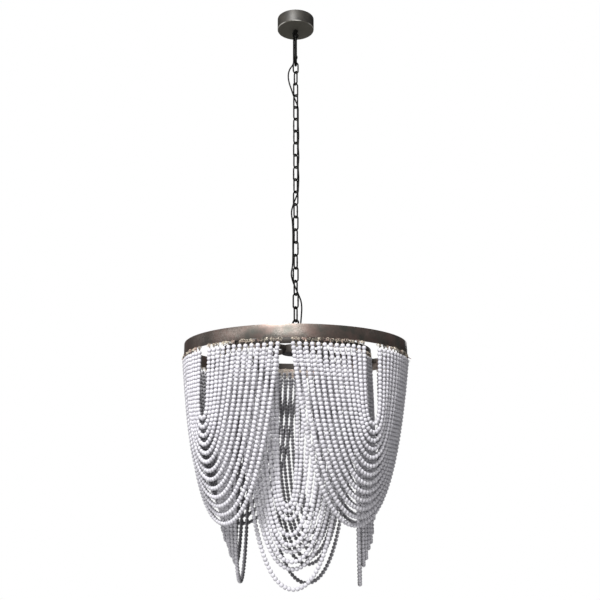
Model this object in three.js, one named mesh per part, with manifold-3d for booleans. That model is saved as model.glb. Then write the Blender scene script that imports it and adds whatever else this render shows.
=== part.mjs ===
// A beaded chandelier on a chain. Millimetres, Z up. The origin is the middle of the ceiling bracket's
// top face, where the lamp meets the ceiling, and the whole lamp hangs below it. Its front faces -Y.
// Azimuths are in degrees round the Z axis, 0 at the front and positive towards +X.

import * as THREE from "three";
import { mergeVertices } from "three/addons/utils/BufferGeometryUtils.js";
import Module from "manifold-3d";

const wasm = await Module();
wasm.setup();

// Clearances that every sub-part shares
const seatGap = 0.3;
const cutOverrun = 1;
const mergeDistance = 0.0001;

// Ceiling bracket and its two screws
const bracketLength = 92;
const bracketWidth = 22;
const bracketThickness = 2.5;
const slotLength = 10;
const slotWidth = 5;
const slotInset = 7;
const screwShankDiameter = 4;
const screwHeadDiameter = 8;
const screwHeadHeight = 3;

// Stud welded under the bracket: it carries the canopy and its eye
const studDiameter = 10;
const studThreadDepth = 4;

// Canopy cup
const canopyDiameter = 108;
const canopyDepth = 37;
const canopyWall = 1.5;
const canopyEdgeRadius = 2.5;

// Terminal block inside the canopy
const blockLength = 16;
const blockWidth = 18;
const blockHeight = 16;
const blockBoreDiameter = 4;
const blockPoles = 3;
const blockClearance = 1.5;

// Eye under the canopy
const canopyEyeWire = 4;
const canopyEyeOpening = 10;
const canopyEyeCollarDiameter = 14;
const canopyEyeCollarHeight = 6;
const canopyEyeShankDiameter = 8;
const canopyEyeShankLength = 4.5;
const eyeRootDepth = 2;

// Snap hook between the eye and the chain
const hookLength = 102;
const hookWire = 8;
const hookNarrowRadius = 10;
const hookWideRadius = 16;
const hookSeatGap = 0.5;
const hookCheekThickness = 1.8;
const hookCheekDiameter = 10;
const gateWire = 6;
const gatePinDiameter = 3;
const gateTipGap = 0.9;

// Chain: a short connecting link, then the chain proper
const linkCount = 21;
const firstLinkPitch = 30;
const linkPitch = 37.5;
const linkWire = 3.8;
const linkWidth = 18.6;
const hookTurn = 90;
const chainTwist = [25, 30, 42, 45];
const twistPerLink = 0.9;

// Lamp cord, grip and grommet
const cordDiameter = 4.2;
const gripDiameter = 11;
const gripFlangeDiameter = 15;
const gripFlangeHeight = 2;
const gripLength = 10;
const gripTailDiameter = 8;

// Hub: eye, stem, wiring cup, cover and finial
const hubEyeWire = 5;
const hubEyeOpening = 12;
const hubEyeCollarDiameter = 20;
const hubEyeCollarHeight = 5;
const stemDiameter = 16;
const stemLength = 50;
const cupDiameter = 74;
const cupDepth = 20;
const cupWall = 1.5;
const cupRise = 1.3;
const coverThickness = 2;
const stemNutAcross = 24;
const stemNutHeight = 5;
const finialDiameter = 22;
const finialHeight = 9;

// Rings and arms
const ringDiameter = 600;
const bandHeight = 33.7;
const bandThickness = 2.5;
const innerRingDiameter = 406;
const innerBandHeight = 16;
const armHeight = 12.5;
const armThickness = 8;
const armFootWidth = 26;
const armFootThickness = 2;

// Lamp holders under the arms
const holderReach = 115;
const holderDiameter = 27;
const holderLength = 56;
const holderShoulder = 9;
const holderNippleDiameter = 10;
const holderNippleLength = 8;
const socketDiameter = 15;
const socketDepth = 34;
const holderLip = 2;

// Bead strands
const beadDiameter = 10;
const railHeight = 2;
const railWidth = 4;
const neckDiameter = 3;
const neckLength = 8;
const patternTurn = -4.7;

// Outer tier: four swags of nested strands under the big ring
const outerStrands = 13;
const outerFirstHalfSpan = 4;
const outerLastHalfSpan = 41.6;
const outerSwags = [
  { name: "front_left", azimuth: -45, firstSag: 179, lastSag: 427 },
  { name: "front_right", azimuth: 45, firstSag: 196, lastSag: 431 },
  { name: "rear_right", azimuth: 135, firstSag: 186, lastSag: 428 },
  { name: "rear_left", azimuth: -135, firstSag: 190, lastSag: 430 },
];

// Inner tier: four deeper swags under the small ring, set half a swag round from the outer ones
const innerFirstHalfSpan = 7.5;
const innerSagShares = [0, 0.07, 0.165, 0.35, 0.47, 0.55, 0.67, 0.76, 1];
const innerSwags = [
  { name: "front", azimuth: -1.2, firstSag: 390, lastSag: 583, lastHalfSpan: 44.5, drift: 3.7 },
  { name: "right", azimuth: 90, firstSag: 388, lastSag: 581, lastHalfSpan: 36, drift: 0 },
  { name: "rear", azimuth: 173, firstSag: 392, lastSag: 590, lastHalfSpan: 43.8, drift: 0 },
  { name: "left", azimuth: -91, firstSag: 386, lastSag: 576, lastHalfSpan: 45.5, drift: 0 },
];

// Search for a catenary: the shares that it starts between and its rounds
const catenaryShares = [0.001, 20];
const catenaryRounds = 60;

// Facet counts
const wireSides = 6;
const hookSides = 8;
const arcSteps = 5;
const roundSides = 16;
const railSegments = 8;
const ringSegments = 60;
const strandSides = 3;
const strandSteps = 6;
const cordSides = 8;
const cordSteps = 80;

// Places that follow from the bracket: the slots, the terminal block's inner side and the cord's start
const slotSpacing = bracketLength - 2 * slotInset;
const blockInside = screwHeadDiameter / 2 + blockClearance + blockLength - slotSpacing / 2;
const cordStart = blockInside + seatGap;
const cordSide = 8;

// Places of the cord grip in the canopy and of the grommet in the hub
const gripX = -5;
const gripY = 15;
const grommetX = 20;
const grommetY = 0;

// Route of the lamp cord: out of the canopy beside the hook, a loose loop to the left, then down the
// chain, through a link where it changes sides, and into the hub
const cordRoute = [
  [cordStart, cordSide, -12],
  [cordStart + cordDiameter, cordSide, -12],
  [-8, 11.5, -15],
  [-5, 14.8, -22],
  [gripX, gripY, -30],
  [gripX, gripY, -39],
  [gripX, gripY, -47],
  [-5.3, 14.5, -55],
  [-6.3, 12, -65],
  [-7, 8.5, -78],
  [-7, 6.5, -102],
  [-7.4, 6, -126],
  [-8, 6.3, -145],
  [-12, 6, -162],
  [-20.5, 5, -181],
  [-26.5, 3, -208],
  [-22.5, 1, -240],
  [-13, 0, -268],
  [-6.6, 0, -287],
  [0, 0, -305],
  [6.4, 0, -324],
  [7.4, 0, -346],
  [8.6, 0.4, -378],
  [7.3, 0.4, -410],
  [8.8, 0.6, -442],
  [7.3, 0.7, -474],
  [8.6, 0.8, -506],
  [7.6, 0.9, -536],
  [6.6, 0.6, -550.5],
  [0, 0, -569],
  [-6.7, -0.9, -588],
  [-11.6, -1.5, -610],
  [-9.2, -1.3, -640],
  [-7.8, -1.3, -672],
  [-7.8, -1.4, -706],
  [-7.8, -1.5, -740],
  [-8.8, -1.8, -768],
  [-12, -2.4, -793],
  [-7, -1.8, -816],
  [0, 0, -832],
  [7.6, 2.2, -850],
  [14.4, 3.6, -868],
  [16.6, 3.8, -888],
  [15.2, 3.4, -914],
  [13.6, 2.6, -940],
  [15.4, 1.6, -961],
  [19, 0.4, -977],
  [grommetX, grommetY, -990],
  [grommetX, grommetY, -1004],
];

// Heights that follow from the sizes above
const canopyFloor = -canopyDepth;
const canopyCollarBottom = canopyFloor - seatGap - canopyEyeCollarHeight;
const canopyShankBottom = canopyCollarBottom - canopyEyeShankLength;
const canopyEyeCentre = canopyShankBottom + eyeRootDepth - canopyEyeOpening / 2 - canopyEyeWire;
const canopyEyeSeat = canopyEyeCentre - canopyEyeOpening / 2;
const hookTop = canopyEyeSeat + seatGap + hookWire;
const hookSeat = hookTop - hookLength + hookWire;
const linkInnerLength = (index) => (index === 1 ? firstLinkPitch : linkPitch) + seatGap;
const linkFlatShare = Math.cos(Math.PI / wireSides);
const crownFlatShare = Math.cos(Math.PI / (2 * arcSteps));
const linkDrop = (index) => (index === 1 ? 0 : firstLinkPitch + (index - 2) * linkPitch);
const linkTop = (index) => hookSeat + hookSeatGap - linkDrop(index);
const chainSeat = linkTop(linkCount) - linkInnerLength(linkCount);
const hubEyeCentre = chainSeat + seatGap - hubEyeOpening / 2;
const hubCollarTop = hubEyeCentre - hubEyeOpening / 2 - hubEyeWire + eyeRootDepth;
const stemTop = hubCollarTop - hubEyeCollarHeight - seatGap;
const cupTop = stemTop - stemLength;
const frameTop = cupTop - cupRise;
const bandBottom = frameTop - bandHeight;
const armBottom = frameTop - armHeight;
const innerBandTop = armBottom - seatGap;
const innerBandBottom = innerBandTop - innerBandHeight;

// Colours and finishes
const darkBronze = { color: 0x4a4540, roughness: 0.55, metalness: 0.8 };
const agedBronze = { color: 0x6b6058, roughness: 0.5, metalness: 0.8 };
const zincSteel = { color: 0x9a9a98, roughness: 0.4, metalness: 0.9 };
const blackPlastic = { color: 0x1d1c1b, roughness: 0.6, metalness: 0 };
const pvcBlack = { color: 0x151515, roughness: 0.5, metalness: 0 };
const whitewashedWood = { color: 0xe4e2e6, roughness: 0.8, metalness: 0 };

const lamp = new THREE.Group();

// Adds a named mesh to a group.
function addPiece(name, geometry, finish, parent = lamp) {
  const mesh = new THREE.Mesh(geometry, new THREE.MeshStandardMaterial(finish));
  mesh.name = name;
  parent.add(mesh);
  return mesh;
}

// Turns a closed geometry into a solid that can be joined and cut.
function solidOf(geometry) {
  const bare = geometry.index ? geometry.toNonIndexed() : geometry.clone();
  bare.deleteAttribute("normal");
  bare.deleteAttribute("uv");
  const merged = mergeVertices(bare, mergeDistance);
  const triVerts = new Uint32Array(merged.index.array);
  const vertProperties = merged.attributes.position.array;
  const made = new wasm.Manifold(new wasm.Mesh({ numProp: 3, vertProperties, triVerts }));
  if (made.volume() > 0) return made;
  for (let i = 0; i < triVerts.length; i += 3) {
    [triVerts[i + 1], triVerts[i + 2]] = [triVerts[i + 2], triVerts[i + 1]];
  }
  return new wasm.Manifold(new wasm.Mesh({ numProp: 3, vertProperties, triVerts }));
}

// Turns a solid back into a geometry.
function geometryOf(solid) {
  const mesh = solid.getMesh();
  const count = mesh.numVert;
  const places = new Float32Array(count * 3);
  for (let i = 0; i < count; i += 1) {
    places.set(mesh.vertProperties.subarray(i * mesh.numProp, i * mesh.numProp + 3), i * 3);
  }
  const geometry = new THREE.BufferGeometry();
  geometry.setAttribute("position", new THREE.BufferAttribute(places, 3));
  geometry.setIndex(new THREE.BufferAttribute(new Uint32Array(mesh.triVerts), 1));
  geometry.computeVertexNormals();
  return geometry;
}

// Joins geometries, then cuts others out of them.
function carve(parts, cuts = []) {
  const whole = parts.map(solidOf).reduce((sum, part) => sum.add(part));
  return geometryOf(cuts.map(solidOf).reduce((rest, cut) => rest.subtract(cut), whole));
}

// An upright cylinder or cone between two heights.
function upright(diameter, top, bottom, x = 0, y = 0, sides = roundSides, lowDiameter = diameter) {
  const shape = new THREE.CylinderGeometry(diameter / 2, lowDiameter / 2, top - bottom, sides);
  return shape.rotateX(Math.PI / 2).translate(x, y, (top + bottom) / 2);
}

// A box by its size and its middle.
function block(sizeX, sizeY, sizeZ, x, y, z) {
  return new THREE.BoxGeometry(sizeX, sizeY, sizeZ).translate(x, y, z);
}

// Outlines are run this way round so that a turned piece's faces point outwards

// A turned piece from an outline of [radius, height] corners that closes on itself or on the axis.
function turned(outline, segments = roundSides) {
  const points = outline.map(([radius, height]) => new THREE.Vector2(radius, height));
  if (THREE.ShapeUtils.isClockWise(points)) points.reverse();
  if (points[0].x > 0 || points[points.length - 1].x > 0) points.push(points[0].clone());
  return new THREE.LatheGeometry(points, segments).rotateX(Math.PI / 2);
}

// A torus in the XZ plane.
function ringInPlane(openingDiameter, wire, z, segments = roundSides) {
  const radius = (openingDiameter + wire) / 2;
  return new THREE.TorusGeometry(radius, wire / 2, wireSides, segments)
    .rotateX(Math.PI / 2)
    .translate(0, 0, z);
}

// A round section that follows an open curve.
function sweptRound(curve, diameter, sides, steps) {
  const section = new THREE.Shape();
  for (let side = 0; side < sides; side += 1) {
    const turn = (side / sides) * 2 * Math.PI;
    const corner = [(Math.cos(turn) * diameter) / 2, (Math.sin(turn) * diameter) / 2];
    if (side === 0) section.moveTo(...corner);
    else section.lineTo(...corner);
  }
  return new THREE.ExtrudeGeometry(section, { steps, extrudePath: curve, bevelEnabled: false });
}

// The centreline of a chain link: two half circles and two straight legs, in the XZ plane.
class LinkLoop extends THREE.Curve {
  constructor(radius, halfLeg) {
    super();
    this.radius = radius;
    this.halfLeg = halfLeg;
    this.steps = 2 * arcSteps + 2;
  }

  getPoint(t, target = new THREE.Vector3()) {
    const step = t * this.steps;
    const half = this.steps / 2;
    const side = step < half ? 1 : -1;
    const along = (step % half) / arcSteps;
    if (along <= 1) {
      const turn = along * Math.PI;
      const across = side * this.radius * Math.cos(turn);
      return target.set(across, 0, side * (this.halfLeg + this.radius * Math.sin(turn)));
    }
    const down = (along - 1) * arcSteps;
    return target.set(-side * this.radius, 0, side * this.halfLeg * (1 - 2 * down));
  }

  getUtoTmapping(u) {
    return u;
  }
}

// A strand of beads that hangs as a catenary between two points on its ring, in the upright plane through
// both. Its first and last steps are the short wires that it hangs by, and the steps between turn evenly.
class HangingStrand extends THREE.Curve {
  constructor(radius, halfSpan, sag, top, drift) {
    super();
    this.reach = radius * Math.cos(THREE.MathUtils.degToRad(halfSpan));
    this.halfChord = radius * Math.sin(THREE.MathUtils.degToRad(halfSpan));
    this.sag = sag;
    this.top = top;
    this.drift = THREE.MathUtils.degToRad(drift);
    this.beadSag = sag - neckLength;
    this.scale = catenaryScale(this.halfChord, this.beadSag);
    this.steepest = Math.atan(Math.sinh(this.halfChord / this.scale));
  }

  getPoint(t, target = new THREE.Vector3()) {
    const step = t * (strandSteps + 2) - 1;
    const held = THREE.MathUtils.clamp(step, 0, strandSteps);
    const slope = this.steepest * ((2 * held) / strandSteps - 1);
    const across = this.scale * Math.asinh(Math.tan(slope));
    const rise = this.scale * (1 / Math.cos(slope) - 1);
    const wire = Math.abs(step - held) * neckLength;
    target.set(across, -this.reach, this.top - this.sag + rise + wire);
    return target.applyAxisAngle(new THREE.Vector3(0, 0, 1), this.drift);
  }

  getUtoTmapping(u) {
    return u;
  }
}

// The catenary's scale for half a chord and a sag, found by halving an interval of half-chord shares.
function catenaryScale(halfChord, sag) {
  let [low, high] = catenaryShares;
  for (let round = 0; round < catenaryRounds; round += 1) {
    const middle = (low + high) / 2;
    if ((Math.cosh(middle) - 1) / middle < sag / halfChord) low = middle;
    else high = middle;
  }
  return halfChord / low;
}

// Canopy: bracket, screws, stud, cup, terminal block, eye and cord grip
function buildCanopy() {
  const bracketMiddle = -bracketThickness / 2;
  const slots = [-1, 1].flatMap((side) => {
    const x = (side * slotSpacing) / 2;
    const straight = slotLength - slotWidth;
    const depth = bracketThickness + 2 * cutOverrun;
    const ends = [-1, 1].map((end) =>
      upright(slotWidth, cutOverrun, cutOverrun - depth, x + (end * straight) / 2, 0),
    );
    return [block(straight, slotWidth, depth, x, 0, bracketMiddle), ...ends];
  });
  const bar = block(bracketLength, bracketWidth, bracketThickness, 0, 0, bracketMiddle);
  const studBottom = canopyCollarBottom + canopyEyeCollarHeight - studThreadDepth + seatGap;
  const stud = upright(studDiameter, bracketMiddle, studBottom);
  addPiece("ceiling_bracket", carve([bar, stud], slots), zincSteel);

  [-1, 1].forEach((side, index) => {
    const x = (side * slotSpacing) / 2;
    const headTop = -bracketThickness - seatGap;
    const shank = upright(screwShankDiameter, 0, headTop - screwHeadHeight / 2, x);
    const head = upright(screwHeadDiameter, headTop, headTop - screwHeadHeight, x);
    addPiece(`bracket_screw_${index + 1}`, carve([shank, head]), zincSteel);
  });

  const outer = canopyDiameter / 2;
  const inner = outer - canopyWall;
  const studHole = studDiameter / 2 + seatGap;
  const corner = [30, 60].map((degrees) => {
    const turn = THREE.MathUtils.degToRad(degrees);
    return [
      outer - canopyEdgeRadius + canopyEdgeRadius * Math.sin(turn),
      canopyFloor + canopyEdgeRadius - canopyEdgeRadius * Math.cos(turn),
    ];
  });
  const cup = turned(
    [
      [studHole, canopyFloor],
      [outer - canopyEdgeRadius, canopyFloor],
      ...corner,
      [outer, canopyFloor + canopyEdgeRadius],
      [outer, 0],
      [inner, 0],
      [inner, canopyFloor + canopyWall],
      [studHole, canopyFloor + canopyWall],
    ],
    2 * roundSides,
  );
  const gripHole = gripDiameter + 2 * seatGap;
  const floorInside = canopyFloor + canopyWall;
  const cordHole = upright(gripHole, floorInside + cutOverrun, canopyFloor - cutOverrun, gripX, gripY);
  addPiece("canopy_cup", carve([cup], [cordHole]), darkBronze);

  const blockX = blockInside - blockLength / 2;
  const blockTop = -bracketThickness - seatGap;
  const blockMiddle = blockTop - blockHeight / 2;
  const bores = Array.from({ length: blockPoles }, (_, pole) => {
    const y = ((pole + 1) / (blockPoles + 1) - 1 / 2) * blockWidth;
    const boreBottom = blockTop - blockHeight - cutOverrun;
    return upright(blockBoreDiameter, blockTop - blockHeight / 3, boreBottom, blockX, y);
  });
  const body = block(blockLength, blockWidth, blockHeight, blockX, 0, blockMiddle);
  addPiece("terminal_block", carve([body], bores), blackPlastic);

  const eyeRing = ringInPlane(canopyEyeOpening, canopyEyeWire, canopyEyeCentre);
  const collar = upright(canopyEyeCollarDiameter, canopyFloor - seatGap, canopyCollarBottom);
  const shank = upright(canopyEyeShankDiameter, canopyCollarBottom + eyeRootDepth, canopyShankBottom);
  const thread = upright(studDiameter + 2 * seatGap, canopyFloor, studBottom - seatGap);
  addPiece("canopy_eye", carve([eyeRing, collar, shank], [thread]), agedBronze);

  addPiece("cord_grip", gripSolid(floorInside, gripX, gripY, canopyWall), blackPlastic);
}

// A cord grip: a flange above a panel, a neck through it and a tapered tail below. Its bore is as wide as
// the cord and a gap.
function gripSolid(panelTop, x, y, panelThickness) {
  const bore = cordDiameter / 2 + seatGap;
  const neck = gripDiameter / 2;
  const low = panelTop - panelThickness;
  return turned([
    [bore, panelTop + seatGap + gripFlangeHeight],
    [gripFlangeDiameter / 2, panelTop + seatGap + gripFlangeHeight],
    [gripFlangeDiameter / 2, panelTop + seatGap],
    [neck, panelTop + seatGap],
    [neck, low - seatGap],
    [gripTailDiameter / 2, low + gripFlangeHeight - gripLength],
    [bore, low + gripFlangeHeight - gripLength],
  ]).translate(x, y, 0);
}

// Snap hook: a bent rod with a nose, and a sprung gate on a pin, drawn in the XZ plane and then turned
function buildSnapHook() {
  const wide = new THREE.Vector3(0, 0, hookSeat - hookWire / 2 + hookWideRadius);
  const narrow = new THREE.Vector3(0, 0, hookTop - hookWire / 2 - hookNarrowRadius);
  const lean = Math.asin((hookWideRadius - hookNarrowRadius) / narrow.distanceTo(wide));
  const onCircle = (centre, radius, turn) =>
    new THREE.Vector3(radius * Math.cos(turn), 0, centre.z + radius * Math.sin(turn));
  const sweep = (centre, radius, from, to, count) =>
    Array.from({ length: count + 1 }, (_, step) =>
      onCircle(centre, radius, from + ((to - from) * step) / count),
    );
  const nose = Math.PI + lean;
  const pivot = onCircle(wide, hookWideRadius, Math.PI + lean);
  const route = new THREE.CatmullRomCurve3(
    [
      ...sweep(wide, hookWideRadius, Math.PI + 2 * lean, 2 * Math.PI + lean, 2 * arcSteps),
      ...sweep(narrow, hookNarrowRadius, lean, nose, arcSteps),
    ],
    false,
    "centripetal",
  );
  const rod = sweptRound(route, hookWire, hookSides, 5 * arcSteps);
  const cheekSpread = gateWire / 2 + seatGap + hookCheekThickness / 2;
  const along = (diameter, length) => {
    const radius = diameter / 2;
    return new THREE.CylinderGeometry(radius, radius, length, roundSides);
  };
  const cheeks = [-1, 1].map((side) =>
    along(hookCheekDiameter, hookCheekThickness).translate(pivot.x, side * cheekSpread, pivot.z),
  );
  const pin = along(gatePinDiameter, 2 * cheekSpread).translate(pivot.x, 0, pivot.z);
  const slotRoom = hookCheekDiameter / 2 + seatGap;
  const slot = along(2 * slotRoom, gateWire + 2 * seatGap).translate(pivot.x, 0, pivot.z);
  const turnedHook = new THREE.Group();
  turnedHook.rotation.z = THREE.MathUtils.degToRad(hookTurn);
  lamp.add(turnedHook);
  const fork = solidOf(rod).subtract(solidOf(slot));
  const body = [...cheeks, pin].map(solidOf).reduce((sum, part) => sum.add(part), fork);
  addPiece("snap_hook_body", geometryOf(body), zincSteel, turnedHook);

  const tip = onCircle(narrow, hookNarrowRadius, nose);
  const reach = tip.clone().sub(pivot);
  const gateLength = reach.length() - gateTipGap;
  const knuckle = along(hookCheekDiameter, gateWire);
  const rodUp = upright(gateWire, gateLength, 0, 0, 0, hookSides);
  const eyeHole = along(gatePinDiameter + 2 * seatGap, gateWire + 2 * cutOverrun);
  const gate = addPiece("hook_gate", carve([knuckle, rodUp], [eyeHole]), zincSteel, turnedHook);
  gate.position.copy(pivot);
  gate.rotation.y = Math.atan2(reach.x, reach.z);
}

// Chain of links, each turned a quarter round from the last and a little more
function linkTurn(index) {
  const twist = chainTwist[Math.min(index, chainTwist.length) - 1];
  const more = Math.max(0, index - chainTwist.length) * twistPerLink;
  return hookTurn * (index + 1) + twist + more;
}

function buildChain() {
  const radius = (linkWidth - linkWire) / 2;
  const crown = radius * crownFlatShare - (linkWire / 2) * linkFlatShare;
  for (let index = 1; index <= linkCount; index += 1) {
    const loop = new LinkLoop(radius, linkInnerLength(index) / 2 - crown);
    const ring = new THREE.TubeGeometry(loop, loop.steps, linkWire / 2, wireSides, true);
    const name = `chain_link_${String(index).padStart(2, "0")}`;
    const link = addPiece(name, ring, agedBronze);
    link.rotation.z = THREE.MathUtils.degToRad(linkTurn(index));
    link.position.z = linkTop(index) - linkInnerLength(index) / 2;
  }
}

// Lamp cord along its whole route
function buildCord() {
  const places = cordRoute.map((place) => new THREE.Vector3(...place));
  const route = new THREE.CatmullRomCurve3(places, false, "centripetal");
  route.getUtoTmapping = (u) => u;
  addPiece("lamp_cord", sweptRound(route, cordDiameter, cordSides, cordSteps), pvcBlack);
}

// Hub: eye, stem, cup, grommet, nut, cover and finial
function buildHub() {
  const eyeRing = ringInPlane(hubEyeOpening, hubEyeWire, hubEyeCentre);
  const collarBottom = hubCollarTop - hubEyeCollarHeight;
  const collar = upright(hubEyeCollarDiameter, hubCollarTop, collarBottom);
  const eye = addPiece("hub_eye", carve([eyeRing, collar]), agedBronze);
  eye.rotation.z = THREE.MathUtils.degToRad(linkTurn(linkCount + 1));

  const coverTop = cupTop - cupDepth - seatGap;
  const coverBottom = coverTop - coverThickness;
  const stemBottom = coverBottom - finialHeight / 2;
  addPiece("hub_stem", upright(stemDiameter, stemTop, stemBottom), darkBronze);

  const stemHole = stemDiameter / 2 + seatGap;
  const rim = cupDiameter / 2;
  const cup = turned([
    [stemHole, cupTop],
    [rim, cupTop],
    [rim, cupTop - cupDepth],
    [rim - cupWall, cupTop - cupDepth],
    [rim - cupWall, cupTop - cupWall],
    [stemHole, cupTop - cupWall],
  ]);
  const grommetHole = gripDiameter + 2 * seatGap;
  const entry = upright(grommetHole, cupTop + cutOverrun, cupTop - cupWall - cutOverrun, grommetX, grommetY);
  addPiece("hub_cup", carve([cup], [entry]), darkBronze);

  const flangeTop = cupTop + seatGap + gripFlangeHeight;
  const grommet = turned([
    [cordDiameter / 2 + seatGap, flangeTop],
    [gripFlangeDiameter / 2, flangeTop],
    [gripFlangeDiameter / 2, cupTop + seatGap],
    [gripDiameter / 2, cupTop + seatGap],
    [gripDiameter / 2, cupTop - cupWall - gripFlangeHeight],
    [cordDiameter / 2 + seatGap, cupTop - cupWall - gripFlangeHeight],
  ]).translate(grommetX, grommetY, 0);
  addPiece("hub_grommet", grommet, blackPlastic);

  const nutTop = cupTop - cupWall - seatGap;
  const nut = upright(stemNutAcross, nutTop, nutTop - stemNutHeight, 0, 0, 6);
  const nutBore = upright(2 * stemHole, nutTop + cutOverrun, nutTop - stemNutHeight - cutOverrun);
  addPiece("stem_nut", carve([nut], [nutBore]), zincSteel);

  const cover = turned([
    [stemHole, coverTop],
    [rim, coverTop],
    [rim, coverBottom],
    [stemHole, coverBottom],
  ]);
  addPiece("hub_cover", cover, darkBronze);

  const finialTop = coverBottom - seatGap;
  const finialSteps = [0, 30, 60, 90].map((degrees) => {
    const turn = THREE.MathUtils.degToRad(degrees);
    return [
      (finialDiameter / 2) * Math.cos(turn),
      finialTop - finialHeight / 3 - ((finialHeight * 2) / 3) * Math.sin(turn),
    ];
  });
  finialSteps[finialSteps.length - 1][0] = 0;
  const finial = turned([
    [0, stemBottom - seatGap],
    [stemHole, stemBottom - seatGap],
    [stemHole, finialTop],
    [finialDiameter / 2, finialTop],
    ...finialSteps,
  ]);
  addPiece("hub_finial", finial, darkBronze);
}

// Frame: four arms from the hub to the big ring, with the small ring under them
function buildFrame() {
  const outer = ringDiameter / 2;
  const inner = outer - bandThickness;
  const band = turned(
    [
      [inner, frameTop],
      [outer, frameTop],
      [outer, bandBottom],
      [inner, bandBottom],
    ],
    ringSegments,
  );
  addPiece("ring_band", band, agedBronze);

  const small = innerRingDiameter / 2;
  const innerBand = turned(
    [
      [small - bandThickness, innerBandTop],
      [small, innerBandTop],
      [small, innerBandBottom],
      [small - bandThickness, innerBandBottom],
    ],
    ringSegments,
  );
  addPiece("inner_ring", innerBand, darkBronze);

  const facetInset = inner * (1 - Math.cos(Math.PI / ringSegments));
  const armStart = cupDiameter / 2 + seatGap;
  const armEnd = Math.sqrt(inner ** 2 - (armFootWidth / 2) ** 2) - facetInset - seatGap;
  const middle = (frameTop + armBottom) / 2;
  outerSwags.forEach((swag) => {
    const bar = block(armThickness, armEnd - armStart, armHeight, 0, -(armStart + armEnd) / 2, middle);
    const foot = block(armFootWidth, armFootThickness, armHeight, 0, -armEnd + armFootThickness / 2, middle);
    const arm = addPiece(`arm_${swag.name}`, carve([bar, foot]), darkBronze);
    arm.rotation.z = THREE.MathUtils.degToRad(swag.azimuth + patternTurn);
  });
}

// Lamp holders, one under each arm, open downwards
function buildHolders() {
  const top = armBottom - seatGap;
  const capTop = top - holderNippleLength;
  const bodyTop = capTop - holderShoulder;
  const bottom = capTop - holderLength;
  const nipple = holderNippleDiameter / 2;
  const wall = holderDiameter / 2;
  const socket = socketDiameter / 2;
  outerSwags.forEach((swag) => {
    const shell = turned([
      [0, top],
      [nipple, top],
      [nipple, capTop],
      [wall, bodyTop],
      [wall, bottom + holderLip],
      [wall - holderLip, bottom],
      [socket, bottom],
      [socket, bottom + socketDepth],
      [0, bottom + socketDepth],
    ]).translate(0, -holderReach, 0);
    const holder = addPiece(`lamp_holder_${swag.name}`, shell, blackPlastic);
    holder.rotation.z = THREE.MathUtils.degToRad(swag.azimuth + patternTurn);
  });
}

// Draws a tube's two end rings in towards the ends of its curve.
function pinchEnds(tube, curve, share) {
  const places = tube.attributes.position;
  const ends = [curve.getPoint(0), curve.getPoint(1)];
  const place = new THREE.Vector3();
  for (let i = 0; i < places.count; i += 1) {
    place.fromBufferAttribute(places, i);
    const end = ends.find((point) => point.distanceTo(place) < beadDiameter * (1 / 2 + share / 2));
    if (!end) continue;
    place.lerpVectors(end, place, share);
    places.setXYZ(i, place.x, place.y, place.z);
  }
  return tube;
}

// One swag: a thin rail along its part of the ring, and the strands that hang from it
function swagGeometry(radius, railTop, strands) {
  const starts = strands.map((strand) => strand.drift - strand.halfSpan);
  const ends = strands.map((strand) => strand.drift + strand.halfSpan);
  const spare = beadDiameter / 2 / radius;
  const from = THREE.MathUtils.degToRad(Math.min(...starts) - 90) - spare;
  const to = THREE.MathUtils.degToRad(Math.max(...ends) - 90) + spare;
  const sector = new THREE.Shape();
  sector.absarc(0, 0, radius + railWidth / 2, from, to, false);
  sector.absarc(0, 0, radius - railWidth / 2, to, from, true);
  const rail = new THREE.ExtrudeGeometry(sector, {
    depth: railHeight,
    bevelEnabled: false,
    curveSegments: railSegments,
  }).translate(0, 0, railTop - railHeight);
  const hang = railTop - railHeight / 2;
  const tubes = strands.map((strand) => {
    const curve = new HangingStrand(radius, strand.halfSpan, strand.sag, hang, strand.drift);
    const tube = sweptRound(curve, beadDiameter, strandSides, strandSteps + 2);
    return pinchEnds(tube, curve, neckDiameter / beadDiameter);
  });
  return carve([rail, ...tubes]);
}

function buildSwags() {
  const outerRadius = ringDiameter / 2 - bandThickness / 2;
  outerSwags.forEach((swag) => {
    const strands = Array.from({ length: outerStrands }, (_, index) => {
      const share = index / (outerStrands - 1);
      return {
        halfSpan: THREE.MathUtils.lerp(outerFirstHalfSpan, outerLastHalfSpan, share),
        sag: THREE.MathUtils.lerp(swag.firstSag, swag.lastSag, share),
        drift: 0,
      };
    });
    const geometry = swagGeometry(outerRadius, bandBottom - seatGap, strands);
    const mesh = addPiece(`outer_swag_${swag.name}`, geometry, whitewashedWood);
    mesh.rotation.z = THREE.MathUtils.degToRad(swag.azimuth + patternTurn);
  });

  const innerRadius = innerRingDiameter / 2 - bandThickness / 2;
  innerSwags.forEach((swag) => {
    const strands = innerSagShares.map((sagShare, index) => {
      const share = index / (innerSagShares.length - 1);
      return {
        halfSpan: THREE.MathUtils.lerp(innerFirstHalfSpan, swag.lastHalfSpan, share),
        sag: THREE.MathUtils.lerp(swag.firstSag, swag.lastSag, sagShare),
        drift: swag.drift * share,
      };
    });
    const geometry = swagGeometry(innerRadius, innerBandBottom - seatGap, strands);
    const mesh = addPiece(`inner_swag_${swag.name}`, geometry, whitewashedWood);
    mesh.rotation.z = THREE.MathUtils.degToRad(swag.azimuth + patternTurn);
  });
}

buildCanopy();
buildSnapHook();
buildChain();
buildCord();
buildHub();
buildFrame();
buildHolders();
buildSwags();

export default lamp;
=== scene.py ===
"""Looks of a beaded chandelier: two rings of nested bead swags on a chain, under a ceiling cup.

Lengths in the dataclasses are in millimetres and are turned into metres where a mesh is made. The
origin is the middle of the ceiling bracket's top face, Z is up and the photographed front faces -Y.
An azimuth is in degrees: 0 is the front, -Y, and 90 is the right, +X.
"""

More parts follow.
